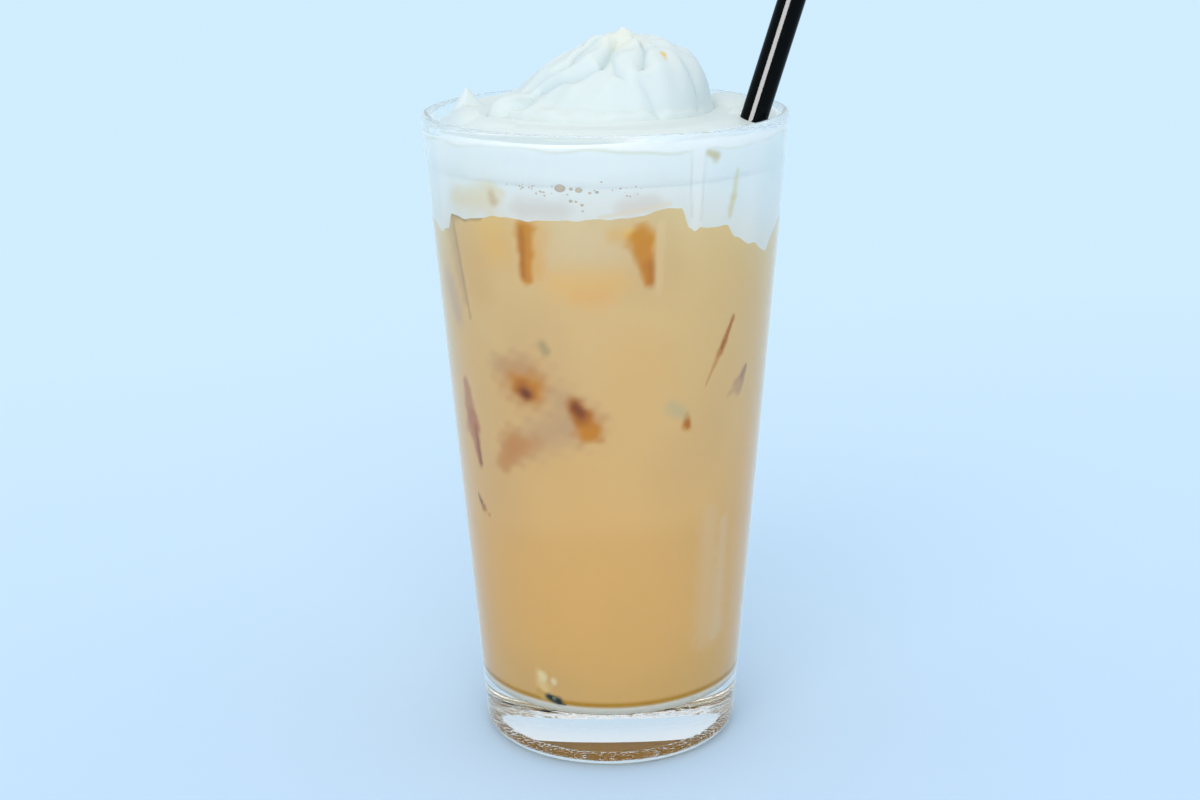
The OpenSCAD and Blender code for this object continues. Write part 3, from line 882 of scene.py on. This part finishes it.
def make_cream():
    """The cream, from the foam up its side and over its folds to the peak."""
    share = (np.arange(CREAM_ROWS, 0, -1) / CREAM_ROWS)[:, None]
    reach = (cavity_r(cream_edge(ANGLES)) + BITE) * share
    x = CROWN[0] * (1 - share ** 2) + reach * np.cos(ANGLES)
    y = CROWN[1] * (1 - share ** 2) + reach * np.sin(ANGLES)
    z = cream_height(x, y)
    z[0] = cream_edge(ANGLES)
    top = list(np.stack([x, y, z], -1))
    rows = [flat_ring(CORE_R, FOAM_Z), flat_ring(cavity_r(FOAM_Z) - FOAM_INSET, FOAM_Z)]
    rows += wall_rows(FOAM_Z, cream_edge(ANGLES), np.linspace(0, 1, 30)[:-1])
    peak = [CROWN[0], CROWN[1], cream_height(CROWN[:1], CROWN[1:])[0]]
    thing = closed_rings("cream_swirl", rows + top, [0, 0, FOAM_Z], peak)
    p, phi, z = wall_coordinates(thing)
    on_wall = smoothstep(-0.8, -0.2, np.hypot(p[:, 0], p[:, 1]) - cavity_r(z))
    tone = blend(np.tile(CREAM_TONE, (len(p), 1)), foam_tone(phi, z), on_wall)
    on_swirl = smoothstep(FOAM_Z + 12, FOAM_Z + 14, z)
    # Painted shade in the creases of the swirl, strongest along each crease
    crease_shade = np.clip(crease_depth(p[:, 0], p[:, 1], 0.45) / 2, 0, 1)
    tone = blend(tone, CREASE_SHADE_TONE, 0.45 * on_swirl * crease_shade)
    # Painted light: a warm highlight on the lobe in front of the peak
    warm = np.hypot(p[:, 0] - CROWN[0], p[:, 1] + 4.5)
    tone = blend(tone, WARM_HIGHLIGHT_TONE, 0.6 * on_swirl * (1 - smoothstep(2, 7, warm)))
    tone = add_flecks(tone, p)
    paint(thing, tone)
    finish_piece(thing, "whipped_cream", cream_material())


# ---------------------------------------------------------------- straw

STRAW_R = 3.0
STRAW_WALL = 0.35
STRAW_SIDES = 64


def make_straw():
    """A tube along the CAD straw's own axis, which runs between the middles of its two ends."""
    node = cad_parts["straw"]
    corners = np.array([node.matrix_world @ v.co for v in node.data.vertices]) / MM
    low, high = node_box("straw")
    middle = (low[2] + high[2]) / 2
    foot, top = corners[corners[:, 2] < middle].mean(0), corners[corners[:, 2] > middle].mean(0)
    long = np.linalg.norm(top - foot)
    outer, inner, edge = STRAW_R, STRAW_R - STRAW_WALL, STRAW_WALL / 2
    outline = arc((inner + edge, edge), edge, 180, 360, 7)
    outline += straight((outer, edge), (outer, long - edge), 20)
    outline += arc((inner + edge, long - edge), edge, 0, 180, 7)
    outline += straight((inner, long - edge), (inner, edge), 20)
    thing = lathe("straw_tube", outline, STRAW_SIDES, close=True)
    turn = Vector(top - foot).to_track_quat("Z", "Y").to_matrix().to_4x4()
    thing.data.transform(Matrix.Translation(Vector(foot) * MM) @ turn)
    finish_piece(thing, "straw", straw_material())
    return thing


# ---------------------------------------------------------------- stage

# The floor's colour is painted paler behind the glass and a little paler on the left, a painted gradient of
# light.
FLOOR_SIZE = 30
FLOOR_TURN = -104
FLOOR_SPREAD = 2.4
FLOOR_NEAR_TONE = 0.567, 0.768, 0.99, 1
FLOOR_FAR_TONE = 0.627, 0.82, 0.955, 1
# The surroundings are blue low down and white above: how far up, where 0 is level and 1 overhead,
# and the colour
LOW_SKY = 0.3, (0.58, 0.75, 0.90, 1)
HIGH_SKY = 0.75, (0.93, 0.93, 0.93, 1)


def make_stage():
    """The floor and the surroundings."""
    bpy.ops.mesh.primitive_plane_add(size=FLOOR_SIZE)
    floor = bpy.context.object
    floor.name = "stage_floor"
    made, shader = material("pale_blue_floor")
    where = add(made, "ShaderNodeTexCoord")
    turned = add(made, "ShaderNodeMapping")
    link(made, where.outputs["Object"], turned.inputs["Vector"])
    turned.inputs["Location"].default_value = (0.1, 0, 0)
    turned.inputs["Rotation"].default_value = (0, 0, math.radians(FLOOR_TURN))
    turned.inputs["Scale"].default_value = (FLOOR_SPREAD, FLOOR_SPREAD, FLOOR_SPREAD)
    # Painted light: a gradient that makes the floor paler behind the glass and on the left
    spread = add(made, "ShaderNodeTexGradient")
    link(made, turned.outputs["Vector"], spread.inputs["Vector"])
    shade = add(made, "ShaderNodeValToRGB")
    shade.color_ramp.elements[0].color = FLOOR_NEAR_TONE
    shade.color_ramp.elements[1].color = FLOOR_FAR_TONE
    link(made, spread.outputs["Color"], shade.inputs["Fac"])
    link(made, shade.outputs["Color"], shader.inputs["Base Color"])
    shader.inputs["Roughness"].default_value = 0.9
    shader.inputs["Specular IOR Level"].default_value = 0.0
    floor.data.materials.append(made)

    world = bpy.data.worlds.new("studio")
    bpy.context.scene.world = world
    world.use_nodes = True
    tree = world.node_tree
    back = tree.nodes["Background"]
    place = tree.nodes.new("ShaderNodeTexCoord")
    height = tree.nodes.new("ShaderNodeSeparateXYZ")
    ramp = tree.nodes.new("ShaderNodeValToRGB")
    for element, (position, colour) in zip(ramp.color_ramp.elements, (LOW_SKY, HIGH_SKY)):
        element.position, element.color = position, colour
    tree.links.new(place.outputs["Generated"], height.inputs["Vector"])
    tree.links.new(height.outputs["Z"], ramp.inputs["Fac"])
    tree.links.new(ramp.outputs["Color"], back.inputs["Color"])
    back.inputs["Strength"].default_value = 1.0


# The sun: strength, colour, width in degrees and the way that its light goes
SUN_POWER = 1.15
SUN_TONE = 1.0, 0.86, 0.76
SUN_ANGLE = 60
SUN_WAY = 0.15, 1.0, -0.6
# A tall soft light that only the straw reflects: place, aim, width and height in metres, watts
STRIP_AT = -0.45, -0.92, 0.40
STRIP_AIM = 0.03, 0, 0.19
STRIP_SIZE = 0.62, 1.2
STRIP_POWER = 330


def aimed(data, way):
    """Puts a light in the scene, shining in a direction."""
    lamp = bpy.data.objects.new(data.name, data)
    lamp.rotation_euler = Vector(way).to_track_quat("-Z", "Y").to_euler()
    bpy.context.scene.collection.objects.link(lamp)
    return lamp


def make_lights(straw):
    """A broad warm sun from the front, and the strip."""
    sun = bpy.data.lights.new("sun", "SUN")
    sun.energy = SUN_POWER
    sun.color = SUN_TONE
    sun.angle = math.radians(SUN_ANGLE)
    aimed(sun, SUN_WAY)

    data = bpy.data.lights.new("strip", "AREA")
    data.shape = "RECTANGLE"
    data.size, data.size_y = STRIP_SIZE
    data.energy = STRIP_POWER
    strip = aimed(data, Vector(STRIP_AIM) - Vector(STRIP_AT))
    strip.location = STRIP_AT
    strip.visible_diffuse = False
    only = bpy.data.collections.new("strip_receivers")
    only.objects.link(straw)
    strip.light_linking.receiver_collection = only


# The camera: place in millimetres, tilt down and roll in degrees, focal length and sensor width
CAMERA_AT = -1.84, -451.3, 212.8
CAMERA_TILT = 16.33
CAMERA_ROLL = -0.58
CAMERA_LENS = 59.886
CAMERA_SENSOR = 36


def make_camera():
    """The camera stands in front of the glass, a little above it, and looks down."""
    data = bpy.data.cameras.new("camera")
    data.sensor_width = CAMERA_SENSOR
    data.lens = CAMERA_LENS
    camera = bpy.data.objects.new("camera", data)
    tilt = Matrix.Rotation(math.radians(90 - CAMERA_TILT), 4, "X")
    roll = Matrix.Rotation(math.radians(CAMERA_ROLL), 4, "Z")
    camera.matrix_world = Matrix.Translation(Vector(CAMERA_AT) * MM) @ tilt @ roll
    bpy.context.scene.collection.objects.link(camera)
    bpy.context.scene.camera = camera


# Light goes back and forth between the glass and what it holds many times before it comes out.
BOUNCES = 24


def make_view():
    """Colours as they are, and enough bounces to light what is behind the glass."""
    scene = bpy.context.scene
    scene.view_settings.view_transform = "Standard"
    for kind in ("max_bounces", "diffuse_bounces", "glossy_bounces", "transmission_bounces"):
        setattr(scene.cycles, kind, BOUNCES)
    scene.cycles.blur_glossy = 0


make_camera()
make_stage()
make_glass()
make_latte()
make_foam()
make_bubbles()
make_cream()
make_ice()
make_lights(make_straw())
make_view()
